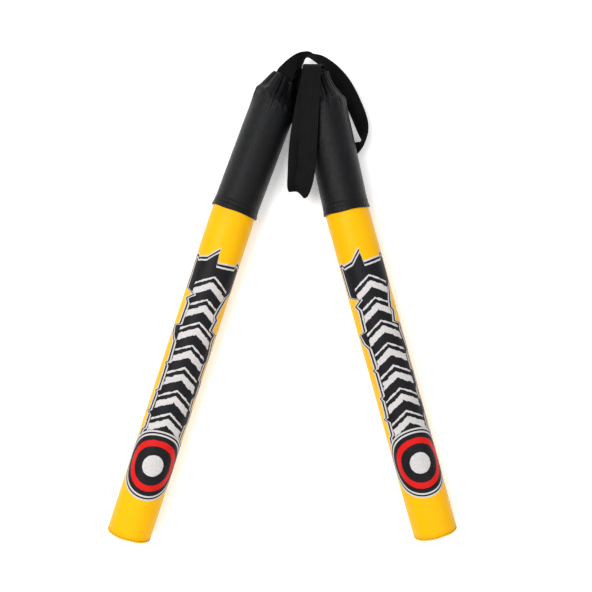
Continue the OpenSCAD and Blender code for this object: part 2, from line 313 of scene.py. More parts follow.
for side_name, route in (("left", LEFT_ROUTE), ("right", RIGHT_ROUTE)):
    strap, line = make_strap(side_name + "_webbing", route)
    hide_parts(side_name + "_wrist_strap")
    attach(strap, side_name + "_strap")


# ---- lie of the two sticks ----
# Each stick is a straight padded body with its grip bent a little to one side. The axes come from
# the middles of the frame's parts.
HEM_TO_SLEEVE_MIDDLE = 0.06525
BODY_END_EXTRA = 0.003   # from the middle of the body to the middle of its cover


class Stick:
    """Axes of one stick. Along the body v is 0 at the end patch, along the grip 0 at the hem."""

    def __init__(self, side):
        def middle(node):
            low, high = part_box(f"{side}_{node}")
            return (low + high) / 2

        self.side = side
        self.body = side + "_stick"
        disc, cover = middle("end_disc"), middle("body_cover")
        self.body_axis = (cover - disc).normalized()
        self.foot = disc - self.body_axis * 0.0005
        self.body_len = 2 * ((cover - self.foot).length - BODY_END_EXTRA)
        sleeve, tie = middle("grip_sleeve"), middle("gather_tie")
        self.grip_axis = (tie - sleeve).normalized()
        self.hem = sleeve - self.grip_axis * HEM_TO_SLEEVE_MIDDLE

    def point(self, part, along, angle, radius):
        """A point on a ring of the body or grip. The angle is 0 on top and opens to the right."""
        start, axis = (self.foot, self.body_axis) if part == "body" else (self.hem, self.grip_axis)
        right = axis.cross(Vector((0, 0, 1))).normalized()
        up = right.cross(axis)
        return start + axis * along + (up * math.cos(angle) + right * math.sin(angle)) * radius


STICKS = [Stick("left"), Stick("right")]
BODY_R = 0.0242


def turned(stick, part, name, profile, around, shape, skin, closed=True, turn=0.0):
    """Sews rings into a skin. profile lists (along, radius, layout along) and
    shape(along, angle, radius, index) gives each point's own (along, radius)."""
    rings, layouts = [], []
    for index, (along, radius, layout) in enumerate(profile):
        ring = []
        for k in range(around):
            angle = 2 * math.pi * k / around - math.pi
            where, out = shape(along, angle, radius, index)
            ring.append(stick.point(part, where, angle, out))
        rings.append(ring)
        layouts.append([((2 * math.pi * k / around - math.pi + turn) * BODY_R, layout)
                        for k in range(around + 1)])
    verts, faces, uvs = sewn_grid(rings, layouts, closed_rows=closed, caps=not closed)
    piece = new_piece(f"{stick.side}_{name}", verts, faces, skin, uvs)
    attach(piece, stick.body)
    return piece


def soft(place, size):
    """Smooth unevenness from -1 to 1 at a place, with lumps of about that size in metres."""
    return noise.noise(Vector(place) / size)


# ---- printed cover ----
# Yellow coated fabric with the design printed on it, wrapped tightly round the foam and closed by
# one long lapped seam that lies underneath.
VINYL_YELLOW = (0.79, 0.405, 0.0, 1)
PRINT_WHITE = (0.55, 0.53, 0.525, 1)
PRINT_BLACK = (0.006, 0.006, 0.008, 1)
PRINT_RED = (0.56, 0.008, 0.006, 1)

# Leather grain: fine pebbles, with a finer roughness over them.
grain, grain_in, grain_out = group("leather grain", [("Size", "Float", 900.0)], [("Height", "Float")])
grain_place = add(grain, "TexCoord", out=3)
grain_bend = add(grain, "TexNoise", grain_place, None, 300.0, 2.0, out=1)
grain_warp = add(grain, "VectorMath", grain_bend, (0.0012,) * 3, grain_place,
                 operation="MULTIPLY_ADD")
grain_cells = add(grain, "TexVoronoi", grain_warp, None, grain_in.outputs["Size"],
                  feature="DISTANCE_TO_EDGE")
grain_pebble = between(grain, grain_cells, 0.0, 0.28)
grain_fine = add(grain, "TexNoise", grain_place, None, 3500.0, 2.0)
grain.links.new(calc(grain, "ADD", grain_pebble, calc(grain, "MULTIPLY", grain_fine, 0.4)),
                grain_out.inputs["Height"])

# Brush edge: shifts a distance by a rough, torn amount, so that printed edges look painted.
brush, brush_in, brush_out = group(
    "brush edge", [("Distance", "Float", 0.0), ("Roughness", "Float", 1.0)], [("Distance", "Float")])
brush_place = add(brush, "UVMap", uv_map="wrap")
brush_coarse = add(brush, "TexNoise", brush_place, None, 160.0, 3.0, 0.65)
brush_shift = calc(brush, "MULTIPLY", calc(brush, "SUBTRACT", brush_coarse, 0.5),
                   brush_in.outputs["Roughness"])
brush.links.new(calc(brush, "ADD", brush_in.outputs["Distance"], brush_shift),
                brush_out.inputs["Distance"])

printed, pr, printed_shader = material(
    "printed yellow coated fabric", Specular_IOR_Level=0.10)
pr_xy = add(pr, "SeparateXYZ", add(pr, "VectorMath", add(pr, "UVMap", uv_map="wrap"),
                                   (1000.0,) * 3, operation="MULTIPLY"))
pr_u, pr_v = pr_xy, pr_xy.node.outputs[1]
# the design, in mm: across from its middle, and along from the end patch
PANEL_FOOT = 74.0      # the panel starts behind the roundel
PANEL_SHOULDER = 311.0     # where the steps of its top edge are measured from
PANEL_LINES = ((0.0, 1.9), (4.3, 6.3))     # white lines, in from the panel's edge
PANEL_TORN = 1.1
ROUNDEL_AT = 85.5
ROUNDEL_R = 38.6
ROUNDEL_LINES = ((0.0, 1.8), (3.6, 5.4))   # white lines, in from the roundel's edge
ROUNDEL_RED = (10.5, 17.0)
ROUNDEL_HEART = (27.0, 60.0)
ROUNDEL_TORN = 1.6


EDGE_REACH = 40.0       # the furthest that a printed edge lies from its line


def zigzag(across, points):
    """A printed edge that steps through (place, distance) points, in millimetres."""
    ramp = pr.nodes.new("ShaderNodeValToRGB")
    stops = ramp.color_ramp.elements
    low, high = points[0][0], points[-1][0]
    for k, (place, distance) in enumerate([points[0], points[-1]] + points[1:-1]):
        stop = stops[k] if k < 2 else stops.new((place - low) / (high - low))
        stop.color = (distance / EDGE_REACH,) * 3 + (1,)
    pr.links.new(calc(pr, "DIVIDE", calc(pr, "SUBTRACT", across, low), high - low),
                 ramp.inputs[0])
    return calc(pr, "MULTIPLY", ramp.outputs[0], EDGE_REACH)


def band(value, low, high):
    """1 where a distance lies between two bounds, with a crisp printed edge."""
    fade = 0.12
    return calc(pr, "MULTIPLY", between(pr, value, low - fade, low + fade),
                between(pr, value, high - fade, high + fade, 1.0, 0.0))


top_edge = zigzag(pr_u, [
    (-40, 6), (-29, 8), (-26, 5), (-14, 8), (-3, 20), (-1.5, 4), (21, 6), (23, 11), (32, 7),
    (40, 10)])
left_edge = zigzag(pr_v, [
    (70, 36), (118, 31), (121, 27), (136, 27), (139, 33), (141, 28), (160, 27), (163, 30),
    (165, 25), (192, 25), (195, 28), (197, 24), (219, 25), (226, 32), (236, 36), (239, 25),
    (263, 24), (268, 28), (274, 19), (279, 35), (330, 37)])
right_edge = zigzag(pr_v, [
    (70, 34), (112, 33), (116, 27), (134, 29), (137, 34), (150, 33), (153, 28), (164, 27),
    (168, 32), (184, 32), (187, 27), (205, 28), (208, 32), (219, 30), (231, 27), (238, 30),
    (242, 19), (254, 22), (258, 19), (267, 21), (280, 26), (287, 35), (330, 37)])
panel_top = calc(pr, "ADD", top_edge, PANEL_SHOULDER)
panel_in = calc(pr, "MINIMUM", calc(pr, "MINIMUM", calc(pr, "ADD", left_edge, pr_u),
                                    calc(pr, "SUBTRACT", right_edge, pr_u)),
                calc(pr, "MINIMUM", calc(pr, "SUBTRACT", panel_top, pr_v),
                     calc(pr, "SUBTRACT", pr_v, PANEL_FOOT)))
panel_in = use(pr, brush, Distance=panel_in, Roughness=PANEL_TORN).outputs[0]
panel = between(pr, panel_in, -0.1, 0.1)
panel_lines = calc(pr, "ADD", *[band(panel_in, *line) for line in PANEL_LINES])

# roundel over the foot of the panel
from_middle = calc(pr, "SQRT", calc(pr, "ADD", calc(pr, "POWER", calc(pr, "ABSOLUTE", pr_u), 2.0), calc(
    pr, "POWER", calc(pr, "ABSOLUTE", calc(pr, "SUBTRACT", pr_v, ROUNDEL_AT)), 2.0)))
roundel_in = calc(pr, "SUBTRACT", ROUNDEL_R, from_middle)
roundel = between(pr, roundel_in, -0.12, 0.12)
rough_in = use(pr, brush, Distance=roundel_in, Roughness=ROUNDEL_TORN).outputs[0]
roundel_lines = calc(pr, "ADD", band(roundel_in, *ROUNDEL_LINES[0]), calc(
    pr, "ADD", band(roundel_in, *ROUNDEL_LINES[1]), band(rough_in, *ROUNDEL_HEART)))
roundel_red = band(rough_in, *ROUNDEL_RED)

# broad brushed chevrons down the panel, each with a thin one above it
BAR_PITCH = 25.6
BAR_FROM, BAR_COUNT = 128.0, 7
BAR_SLOPE = 0.62            # how steeply each arm of a chevron falls
BAR_REACH = 19.5            # how far the arms reach from the middle
BAR_CLEAR = 7.2             # and how far they stay in from the panel's edge
BROAD_AT, BROAD_HALF, BROAD_TORN = 7.0, 3.8, 5.6
THIN_AT, THIN_HALF, THIN_TORN = 16.6, 1.2, 3.8
bar_line = calc(pr, "MULTIPLY_ADD", calc(pr, "ABSOLUTE", pr_u), BAR_SLOPE, pr_v)
bar_turn = calc(pr, "DIVIDE", calc(pr, "SUBTRACT", bar_line, BAR_FROM), BAR_PITCH)
bar_at = calc(pr, "MULTIPLY", calc(pr, "FRACT", bar_turn), BAR_PITCH)
bar_side = calc(pr, "SUBTRACT", BAR_REACH, calc(pr, "ABSOLUTE", pr_u))
bar_room = calc(pr, "MINIMUM", bar_side, calc(pr, "SUBTRACT", panel_in, BAR_CLEAR))
bars = 0.0
for place, half_width, torn in ((BROAD_AT, BROAD_HALF, BROAD_TORN), (THIN_AT, THIN_HALF, THIN_TORN)):
    away = calc(pr, "ABSOLUTE", calc(pr, "SUBTRACT", bar_at, place))
    stroke = calc(pr, "MINIMUM", calc(pr, "SUBTRACT", half_width, away), bar_room)
    stroke = use(pr, brush, Distance=stroke, Roughness=torn).outputs[0]
    bars = calc(pr, "MAXIMUM", bars, between(pr, stroke, -0.15, 0.15))
bars = calc(pr, "MULTIPLY", bars, band(bar_turn, 0.0, float(BAR_COUNT)))

pr_scuff = use(pr, tone, Size=420.0, Low=0.0, High=1.0)
pr_tone = use(pr, tone, Size=22.0, Low=0.93, High=1.0)
white_worn = blend_colour(pr, calc(pr, "MULTIPLY", pr_scuff.outputs["Value"], 0.35), PRINT_WHITE,
                          (0.33, 0.31, 0.305, 1))
black_worn = blend_colour(pr, calc(pr, "MULTIPLY", pr_scuff.outputs["Value"], 0.25), PRINT_BLACK,
                          (0.020, 0.020, 0.023, 1))
pr_colour = blend_colour(pr, panel, VINYL_YELLOW, black_worn)
pr_colour = blend_colour(pr, panel_lines, pr_colour, white_worn)
pr_colour = blend_colour(pr, bars, pr_colour, white_worn)
pr_colour = blend_colour(pr, roundel, pr_colour, black_worn)
pr_colour = blend_colour(pr, calc(pr, "MULTIPLY", roundel_lines, roundel), pr_colour, white_worn)
pr_colour = blend_colour(pr, calc(pr, "MULTIPLY", roundel_red, roundel), pr_colour, PRINT_RED)
pr.links.new(blend_colour(pr, 1.0, pr_colour, pr_tone.outputs["Value"], "MULTIPLY"),
             printed_shader.inputs["Base Color"])
pr_ink = calc(pr, "MAXIMUM", panel, roundel)
pr.links.new(calc(pr, "ADD", calc(pr, "MULTIPLY", pr_scuff.outputs["Value"], 0.10),
                  calc(pr, "MULTIPLY_ADD", pr_ink, 0.06, 0.36)), printed_shader.inputs["Roughness"])
pr_height = calc(pr, "ADD", use(pr, grain, Size=1100.0).outputs[0],
                 calc(pr, "MULTIPLY", pr_ink, 0.35))
pr.links.new(add(pr, "Bump", 0.22, 0.00012, None, pr_height), printed_shader.inputs["Normal"])

COVER_AROUND = 168
LAP_HALF = 0.0045     # half of the width of the lapped seam
LAP_RISE = 0.0004
LAP_FADE = 0.010      # the lap flattens out over this length towards the hem
COVER_FROM = 0.0041   # where the cover meets the rim
COVER_END_IN = 0.003  # the hem squeezes the cover most, this far in from the body's end
SEAM_PULL = 0.004     # the cover is drawn in most here, beside the rim's seam
LAYOUT_LENGTH = 0.373      # length of the cover in the printed layout
RIM_STITCHES = 45
COVER_DENTS = ((0.00018, 0.030), (0.00007, 0.009))   # depth and size
PRINT_TURN = {"left": -0.18, "right": -0.10}   # where each cover's design faces


def cover_shape(stick):
    """The cover's surface: drawn in at both ends, with soft dents and the lap underneath."""
    def shape(along, angle, radius, index):
        spot = stick.point("body", along, angle, radius)
        seam = abs(math.pi - abs(angle)) * BODY_R
        lift = LAP_RISE / (1 + math.exp((seam - LAP_HALF) / 0.0003))
        dents = sum(depth * soft(spot, size) for depth, size in COVER_DENTS)
        pull = 0.00035 * math.exp(-((along - SEAM_PULL) / 0.0018) ** 2)
        end = stick.body_len - COVER_END_IN
        pull += 0.0003 * math.exp(-((along - end) / 0.006) ** 2)
        lift *= 1 - math.exp(-((along - end) / LAP_FADE) ** 2)
        pucker = 0.00012 * math.sin(RIM_STITCHES * angle) \
            * math.exp(-((along - SEAM_PULL) / 0.004) ** 2)
        return along, radius + lift + dents - pull + pucker
    return shape


def cover_profile(stick):
    """Rings from the rim seam up to the hem, then back down inside the fabric."""
    inner, start, end = BODY_R - 0.0006, COVER_FROM, stick.body_len + 0.002
    stretch = LAYOUT_LENGTH / stick.body_len
    steps = [start + 0.0004 * k for k in range(16)]
    while steps[-1] < end - 0.0018:
        steps.append(steps[-1] + 0.0018)
    outer = [(v, BODY_R, v * stretch) for v in steps + [end]]
    return outer + [(v, inner, v * stretch) for v in reversed(steps[::8] + [end])]


for stick in STICKS:
    cover = turned(stick, "body", "cover", cover_profile(stick), COVER_AROUND, cover_shape(stick),
                   printed, turn=PRINT_TURN[stick.side])
    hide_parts(stick.side + "_body_cover")


# ---- seam thread ----
# Polyester thread in one long row of stitches down one side of the lap, near its edge.
thread_yarn, th, thread_shader = material("sewing thread", Roughness=0.6, Sheen_Weight=0.2)
th_wave = add(th, "TexWave", add(th, "TexCoord", out=3), 900.0, 2.0, wave_profile="SIN",
              bands_direction="DIAGONAL")
# painted shade and highlight: the thread is coloured lighter on the raised turns of its twist and
# darker in the grooves between them
th.links.new(blend_colour(th, th_wave, (0.020, 0.015, 0.008, 1), (0.085, 0.062, 0.030, 1)),
             thread_shader.inputs["Base Color"])
th.links.new(add(th, "Bump", 0.6, 0.00008, None, th_wave), thread_shader.inputs["Normal"])
THREAD_R = 0.00026
THREAD_RISE, THREAD_SINK = 0.0003, 0.00016     # a stitch arches up from just under the surface
LAP_ROW_IN = 0.0016   # the row runs this far in from the lap's edge
LAP_ROW_FROM = 0.010
LAP_ROW_SHORT = 0.022      # how much shorter the row is than the body
STITCH = 0.0034       # from one stitch to the next
STITCH_ON = 0.0026    # length of a stitch that shows


def stitches(name, stick, count, place, outward, skin=None):
    """A row of stitches. place(t) is a point on the fabric at t stitches along the row."""
    verts, faces = [], []
    share, sides, rings = STITCH_ON / STITCH, 7, 7
    for n in range(count):
        spots = [place(n + share * k / (rings - 1)) for k in range(rings)]
        base = len(verts)
        for k, spot in enumerate(spots):
            along = (spots[min(k + 1, rings - 1)] - spots[max(k - 1, 0)]).normalized()
            out = outward(spot)
            wide = along.cross(out).normalized()
            swell = math.sin(math.pi * (k + 0.35) / (rings - 0.3))
            radius = THREAD_R * (0.45 + 0.55 * swell ** 0.5)
            middle = spot + out * (THREAD_RISE * swell - THREAD_SINK)
            for s in range(sides):
                turn = 2 * math.pi * s / sides
                verts.append(middle + wide * radius * math.cos(turn)
                             + out * radius * math.sin(turn))
        for k in range(rings - 1):
            for s in range(sides):
                a, b = base + k * sides + s, base + k * sides + (s + 1) % sides
                faces.append((a, b, b + sides, a + sides))
        faces.append(tuple(base + s for s in reversed(range(sides))))
        faces.append(tuple(base + (rings - 1) * sides + s for s in range(sides)))
    piece = new_piece(f"{stick.side}_{name}", verts, faces, skin or thread_yarn)
    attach(piece, stick.body)
    return piece


def outward_from(start, axis):
    """Direction away from a stick's axis."""
    def out(spot):
        away = spot - start
        return (away - axis * away.dot(axis)).normalized()
    return out


for stick in STICKS:
    shape = cover_shape(stick)

    def lap_row(t, stick=stick, shape=shape):
        angle = math.pi - (LAP_HALF - LAP_ROW_IN) / BODY_R
        along, radius = shape(LAP_ROW_FROM + STITCH * t, angle, BODY_R, 0)
        return stick.point("body", along, angle, radius)

    stitches("lap_stitches", stick, int((stick.body_len - LAP_ROW_SHORT) / STITCH), lap_row,
             outward_from(stick.foot, stick.body_axis))


# ---- end patch and rim ----
# A round patch of the same fabric closes the tip. Its edge is turned with the cover's into a
# low rolled rim, which one row of stitches holds.
yellow_fabric, ye, yellow_shader = material(
    "plain yellow coated fabric", Specular_IOR_Level=0.10)
ye_tone = use(ye, tone, Size=30.0, Low=0.92, High=1.0)
ye_scuff = use(ye, tone, Size=240.0, Low=0.0, High=0.22)
ye_base = blend_colour(ye, ye_scuff.outputs["Value"], VINYL_YELLOW, (0.62, 0.28, 0.004, 1))
ye.links.new(blend_colour(ye, 1.0, ye_base, ye_tone.outputs["Value"], "MULTIPLY"),
             yellow_shader.inputs["Base Color"])
ye.links.new(calc(ye, "ADD", ye_scuff.outputs["Value"], 0.36), yellow_shader.inputs["Roughness"])
ye.links.new(add(ye, "Bump", 0.22, 0.00012, None, use(ye, grain, Size=1100.0).outputs[0]),
             yellow_shader.inputs["Normal"])
RIM_STITCH_AT = 0.0021
RIM_HEIGHT = 0.0041
RIM_GROOVE, RIM_PUCKER = 0.00045, 0.00014
PATCH_R = 0.0215


def rim_shape(along, angle, radius, index):
    """Small puckers between the stitches, deepest in the stitched groove."""
    if radius < 0.0235 and along > 0.0005:
        return along, radius
    groove = math.exp(-((along - RIM_STITCH_AT) / 0.0007) ** 2)
    between_stitches = math.cos(RIM_STITCHES * angle)
    wander = 0.00025 * math.sin(3 * angle + 0.7) + 0.00015 * math.sin(7 * angle)
    return (along + wander * (1 - along / 0.004) + 0.00012 * between_stitches * (1 - groove),
            radius - RIM_GROOVE * groove + RIM_PUCKER * between_stitches * (1 - 0.5 * groove))


for stick in STICKS:
    rim_line = [(0.0010, 0.0234), (0.0009, 0.0216), (0.0004, 0.0214), (-0.0001, 0.0221),
                (-0.0002, 0.0229), (0.0001, 0.0236), (0.0006, 0.0240), (0.0010, 0.0242),
                (0.0014, 0.0242), (0.0018, 0.0241), (0.0021, 0.0240), (0.0024, 0.0241),
                (0.0028, 0.0242), (0.0033, 0.0242), (0.0037, 0.0241), (RIM_HEIGHT, 0.0238),
                (RIM_HEIGHT, 0.0234)]
    rim = turned(stick, "body", "rim", [(a, r, a) for a, r in rim_line], 6 * RIM_STITCHES,
                 rim_shape, yellow_fabric)
    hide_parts(stick.side + "_end_welt")

    def rim_row(t, stick=stick):
        angle = 2 * math.pi * t / RIM_STITCHES - math.pi / RIM_STITCHES * STITCH_ON / STITCH
        along, radius = rim_shape(RIM_STITCH_AT, angle, BODY_R - 0.0001, 0)
        return stick.point("body", along, angle, radius)

    rim_thread = stitches("rim_stitches", stick, RIM_STITCHES, rim_row,
                          outward_from(stick.foot, stick.body_axis))
    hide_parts(stick.side + "_end_thread")

    def patch_shape(along, angle, radius, index, stick=stick):
        edge = (radius / PATCH_R) ** 2
        spot = stick.point("body", along, angle, radius)
        pucker = 0.00018 * math.cos(RIM_STITCHES * angle) * edge ** 4
        return along + (0.0003 * soft(spot, 0.012) + pucker if along < 0.0006 else 0.0), radius

    patch_line = [(0.0004 - 0.0006 * (1 - (r / PATCH_R) ** 2), r)
                  for r in [0.0008 + 0.0207 * k / 16 for k in range(17)]]
    patch_line += [(0.0010, PATCH_R), (0.0010, 0.0008)]
    patch = turned(stick, "body", "end_patch", [(a, r, r) for a, r in patch_line],
                   3 * RIM_STITCHES, patch_shape, yellow_fabric, closed=False)
    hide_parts(stick.side + "_end_disc")


# ---- grip padding ----
# A sleeve of closed-cell foam round the core, cut with soft edges.
foam_cells, fo, foam_shader = material("closed-cell foam", Roughness=0.9, Specular_IOR_Level=0.2)
fo_place = add(fo, "TexCoord", out=3)
fo_cells = add(fo, "TexVoronoi", fo_place, None, 1400.0, feature="DISTANCE_TO_EDGE")
fo_wall = between(fo, fo_cells, 0.0, 0.3)
fo.links.new(blend_colour(fo, fo_wall, (0.62, 0.62, 0.58, 1), (0.42, 0.42, 0.39, 1)),
             foam_shader.inputs["Base Color"])
fo.links.new(add(fo, "Bump", 0.5, 0.0002, None, fo_wall), foam_shader.inputs["Normal"])
FOAM_R = 0.0236
FOAM_BORE_R = 0.0112
FOAM_FROM = 0.0034
FOAM_SHOULDER = 0.110     # the foam rounds off above this

for stick in STICKS:
    foam_line = [(FOAM_FROM, FOAM_BORE_R), (FOAM_FROM, 0.0225), (0.0040, 0.0233), (0.0050, FOAM_R)]
    foam_line += [(0.005 + 0.105 * k / 8, FOAM_R) for k in range(1, 9)]
    foam_line += [(FOAM_SHOULDER + 0.011 * math.sin(t), 0.0126 + 0.0110 * math.cos(t))
                  for t in [math.pi / 2 * k / 7 for k in range(1, 8)]]
    padding = turned(stick, "grip", "grip_padding", [(a, r, a) for a, r in foam_line], 72,
                     lambda along, angle, radius, index: (along, radius), foam_cells)
    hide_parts(stick.side + "_grip_foam")


# ---- grip sleeve and gather ----
# Black synthetic leather drawn tightly over the foam. Its top is gathered in uneven pleats by a
# cord inside the turned edge, puffed out more on one side than the other.
grip_leather, gr, grip_shader = material(
    "black synthetic leather", Specular_IOR_Level=0.17)
gr_tone = use(gr, tone, Size=18.0, Low=0.8, High=1.15)
gr_rub = use(gr, tone, Size=90.0, Low=0.0, High=0.35)
gr_base = blend_colour(gr, gr_rub.outputs["Value"], (0.0014, 0.0016, 0.0023, 1),
                       (0.0050, 0.0056, 0.0070, 1))
gr.links.new(blend_colour(gr, 1.0, gr_base, gr_tone.outputs["Value"], "MULTIPLY"),
             grip_shader.inputs["Base Color"])
gr.links.new(calc(gr, "MULTIPLY_ADD", gr_rub.outputs["Value"], 0.3, 0.32),
             grip_shader.inputs["Roughness"])
gr.links.new(add(gr, "Bump", 0.55, 0.00022, None, use(gr, grain, Size=850.0).outputs[0]),
             grip_shader.inputs["Normal"])
GRIP_R = 0.0249
SLEEVE_FROM = 0.0086
GATHER_FROM, GATHER_LENGTH = 0.1, 0.055     # of the layout, up to the mouth's edge
SKIN_THICK = 0.0007
SLEEVE_DENTS = ((0.00014, 0.024), (0.00005, 0.007))     # depth and size
MOUTH_WALL = 0.0106     # nearest the turned edge comes to the strap inside it
PLEATS = 13
PLEAT_DEPTH, CREASE_DEPTH = 0.0034, 0.0014  # broad pleats, and the fine creases between them
CRUMPLE, CRUMPLE_SIZE = 0.0016, 0.006       # loose unevenness half way up
FIRST_RIDGE = 0.00045   # of the creases, where the sleeve starts to draw in
MOUTH_WAVE = 0.0012     # how far the pleats carry the mouth's edge up and down
LIP_ARCH, LIP_FOLD = 0.0009, 0.0016         # rise and length of the turn at the mouth
# The gather in outline, as (distance from the hem, radius) in mm, on its full and its tight side
FULL_SIDE = [(100, 24.9), (118, 24.9), (130, 25.0), (134.5, 24.9), (137, 23.9), (141, 21.6),
             (146, 19.2), (151, 17.0), (155, 15.2), (158.5, 13.4)]
TIGHT_SIDE = [(100, 24.9), (110, 24.9), (116.5, 24.9), (119.5, 24.4), (122.5, 23.0), (127, 20.6),
              (133, 17.4), (139, 14.9), (146, 13.4), (153, 12.8)]
# the way the full side faces, and how full it is
PUFF = {"left": (math.radians(-75), 1.0, 3.1), "right": (math.radians(-95), 0.55, 11.7)}


def outline_at(side, t):
    """A point of an outline, t from 0 to 1, on a smooth curve through its points."""
    place = min(t * (len(side) - 1), len(side) - 1.0001)
    i = int(place)
    four = (side[max(i - 1, 0)], side[i], side[i + 1], side[min(i + 2, len(side) - 1)])
    return smooth_row(*four, place - i)


def gather_shape(stick):
    """The sleeve's surface. A profile radius of 0 to 1 is the way up the gather, and one below 0
    is the way down inside the turned edge."""
    towards, fullness, seed = PUFF[stick.side]

    def dents(spot):
        return sum(depth * soft(spot, size) for depth, size in SLEEVE_DENTS)

    def folded(angle, t):
        """Pleats that wander and differ in depth: sharp valleys between rounded folds."""
        circle = (math.cos(angle), math.sin(angle))
        wander = angle + 0.20 * math.sin(2 * angle + seed) + 0.13 * math.sin(5 * angle + 2 * seed)
        wander += 0.16 * (1 - t) * soft((circle[0] * 2, circle[1] * 2, seed), 1.0)
        broad = abs(math.sin(PLEATS / 2 * wander)) ** 0.55 - 0.75
        fine = abs(math.sin(PLEATS * 1.31 * wander + seed)) ** 0.7 - 0.65
        deep = 0.85 + 1.1 * soft((circle[0] * 3, circle[1] * 3, seed + 5), 1.0)
        return broad * deep, fine * (1.2 - deep * 0.5)

    def shape(along, angle, radius, index):
        spot = stick.point("grip", along, angle, GRIP_R)
        if radius > 1:
            return along, radius - 1 + dents(spot)
        t = max(0.0, min(radius, 1.0)) if radius >= 0 else 1.0
        full = fullness * (0.5 + 0.5 * math.cos(angle - towards)) ** 1.3
        full = max(0.0, min(1.0, full + 0.35 * soft(
            (math.cos(angle) * 2, math.sin(angle) * 2, seed + 9), 1.0) * min(1.0, 4 * t)))
        tight, puffy = outline_at(TIGHT_SIDE, t), outline_at(FULL_SIDE, t)
        where = (tight[0] + (puffy[0] - tight[0]) * full) * 0.001
        out = (tight[1] + (puffy[1] - tight[1]) * full) * 0.001
        spot = stick.point("grip", where, angle, GRIP_R)
        broad, fine = folded(angle, t)
        grow = max(0.0, min(1.0, (t - 0.12) / 0.5))
        out += (PLEAT_DEPTH * grow ** 1.2 * (1 - 0.35 * t)) * broad \
            + CREASE_DEPTH * grow * (1 - 0.5 * t) * fine
        out += CRUMPLE * math.sin(math.pi * grow) * soft(spot, CRUMPLE_SIZE)
        start = math.exp(-((t - 0.20) / 0.10) ** 2)
        out += FIRST_RIDGE * start * (fine + 0.5 * broad)
        out += dents(spot)
        where += MOUTH_WAVE * grow * broad * t
        return where, out

    def whole(along, angle, radius, index):
        if radius >= 0:
            return shape(along, angle, radius, index)
        lip_at, lip_r = shape(along, angle, 1.0, index)
        inward = -radius
        drop = inward * 1.1 + max(0.0, inward - 0.0020) * 5
        arch = LIP_ARCH * math.sin(min(inward / LIP_FOLD, 1.0) * math.pi)
        return lip_at - drop + arch, max(lip_r - min(inward, 0.0015), MOUTH_WALL)
    return whole


for stick in STICKS:
    steps = [SLEEVE_FROM + (GATHER_FROM - SLEEVE_FROM) * k / 34 for k in range(34)]
    sleeve_line = [(s, 1 + GRIP_R, s) for s in steps]
    for k in range(89):
        up = GATHER_FROM + GATHER_LENGTH * k / 88
        sleeve_line.append((up, k / 88, up))
    lip = GATHER_FROM + GATHER_LENGTH
    sleeve_line += [(lip, -d, lip + d) for d in
                    (0.0004, 0.0008, 0.0012, 0.0017, 0.0022, 0.0028, 0.0034)]
    sleeve = turned(stick, "grip", "grip_sleeve_skin", sleeve_line, 432, gather_shape(stick),
                    grip_leather, closed=False)
    # the skin is open at both ends, and gets its thickness inwards
    work = bmesh.new()
    work.from_mesh(sleeve.data)
    ends = [face for face in work.faces if len(face.verts) > 4]
    bmesh.ops.delete(work, geom=ends, context="FACES_ONLY")
    work.to_mesh(sleeve.data)
    work.free()
    thick = sleeve.modifiers.new("fabric", "SOLIDIFY")
    thick.thickness = SKIN_THICK
    thick.offset = -1
    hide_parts(stick.side + "_grip_sleeve", stick.side + "_grip_gather")


# ---- hem band ----
# The sleeve's lower edge is folded under and stitched round, over the end of the yellow cover.
HEM_R = 0.0251
HEM_STITCHES = 46
black_yarn, bl, black_shader = material("black sewing thread", Roughness=0.65,
                                        Specular_IOR_Level=0.15)
bl_wave = add(bl, "TexWave", add(bl, "TexCoord", out=3), 900.0, 2.0, bands_direction="DIAGONAL")
# painted shade and highlight: the black thread is coloured lighter on the raised turns of its twist and
# darker in the grooves between them
bl.links.new(blend_colour(bl, bl_wave, (0.003, 0.003, 0.003, 1), (0.014, 0.014, 0.015, 1)),
             black_shader.inputs["Base Color"])
bl.links.new(add(bl, "Bump", 0.6, 0.00008, None, bl_wave), black_shader.inputs["Normal"])
HEM_UP = 0.0026       # how far the folded edge sits above the hem line
HEM_STITCH_AT = 0.0032 + HEM_UP
HEM_GROOVE, HEM_PUCKER = 0.0003, 0.00012


def hem_shape(along, angle, radius, index):
    """The folded edge flares a little and puckers at the stitches."""
    if radius < 0.0248:
        return along, radius
    groove = math.exp(-((along - HEM_STITCH_AT) / 0.0008) ** 2)
    pucker = math.cos(HEM_STITCHES * angle)
    flare = 0.00018 * math.sin(4 * angle + 1.1) + 0.0001 * math.sin(9 * angle)
    low = max(0.0, (0.003 + HEM_UP - along) / 0.006)
    return (along + 0.0003 * low * math.sin(5 * angle),
            radius + flare * low - HEM_GROOVE * groove + HEM_PUCKER * pucker * (1 - 0.4 * groove))


for stick in STICKS:
    hem_line = [(0.0064, 0.0242), (0.0070, 0.0246), (0.0071, 0.0249), (0.0064, 0.02498),
                (0.0056, 0.02504), (0.0048, 0.0251), (0.0040, 0.02516), (0.0032, 0.0251),
                (0.0026, 0.0252), (0.0018, 0.0253), (0.0008, 0.0254), (-0.0002, 0.0255),
                (-0.0012, 0.0257), (-0.0021, 0.0258), (-0.0027, 0.0257), (-0.0031, 0.0253),
                (-0.0031, 0.0248), (-0.0027, 0.0245), (-0.0018, 0.0244), (0.0020, 0.0243)]
    hem_rings = [(a + HEM_UP, r, a) for a, r in reversed(hem_line)]
    band_piece = turned(stick, "grip", "hem_band", hem_rings, 6 * HEM_STITCHES, hem_shape,
                        grip_leather)
    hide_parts(stick.side + "_grip_hem")

    def hem_row(t, stick=stick):
        angle = 2 * math.pi * t / HEM_STITCHES - math.pi / HEM_STITCHES * STITCH_ON / STITCH
        along, radius = hem_shape(HEM_STITCH_AT, angle, HEM_R, 0)
        return stick.point("grip", along, angle, radius)

    hem_thread = stitches("hem_stitches", stick, HEM_STITCHES, hem_row,
                          outward_from(stick.hem, stick.grip_axis), black_yarn)
    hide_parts(stick.side + "_hem_thread")


